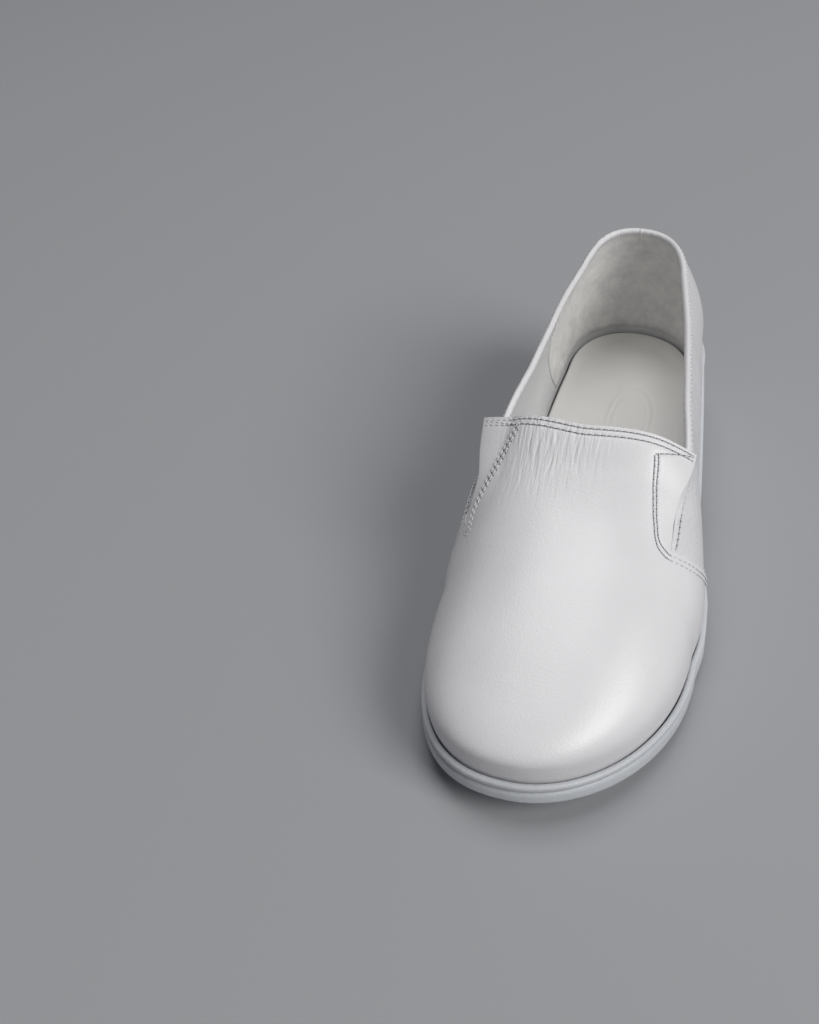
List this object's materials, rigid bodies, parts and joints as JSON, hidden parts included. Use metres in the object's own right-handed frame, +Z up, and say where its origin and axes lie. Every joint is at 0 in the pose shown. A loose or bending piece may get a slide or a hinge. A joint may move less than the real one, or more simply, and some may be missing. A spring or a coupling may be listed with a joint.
{
  "type": "nursing shoe",
  "caption": "White leather slip-on nursing shoe, left foot: smooth vamp with winged flaps over elastic gores, plain quarters with a bound collar, moulded wedge sole with a grooved tread.",
  "frame": {"origin": "centre of the shoe's box, on the floor that it stands on", "axes": "+Z up, +Y from toe to heel, +X to the outer side of the left foot"},
  "size_m": [0.1004, 0.2634, 0.0884],
  "materials": {
    "upper": "smooth full-grain leather, soft sheen",
    "sole": "moulded foam polyurethane, satin",
    "insole": "smooth lining leather over thin foam",
    "gore": "woven elastic",
    "binding": "folded leather strip"
  },
  "bodies": {
    "root": {"sole": "sole", "upper": "upper", "insole": "insole", "gore_inner": "gore", "gore_outer": "gore", "collar_binding": "binding"}
  },
  "joints": []
}
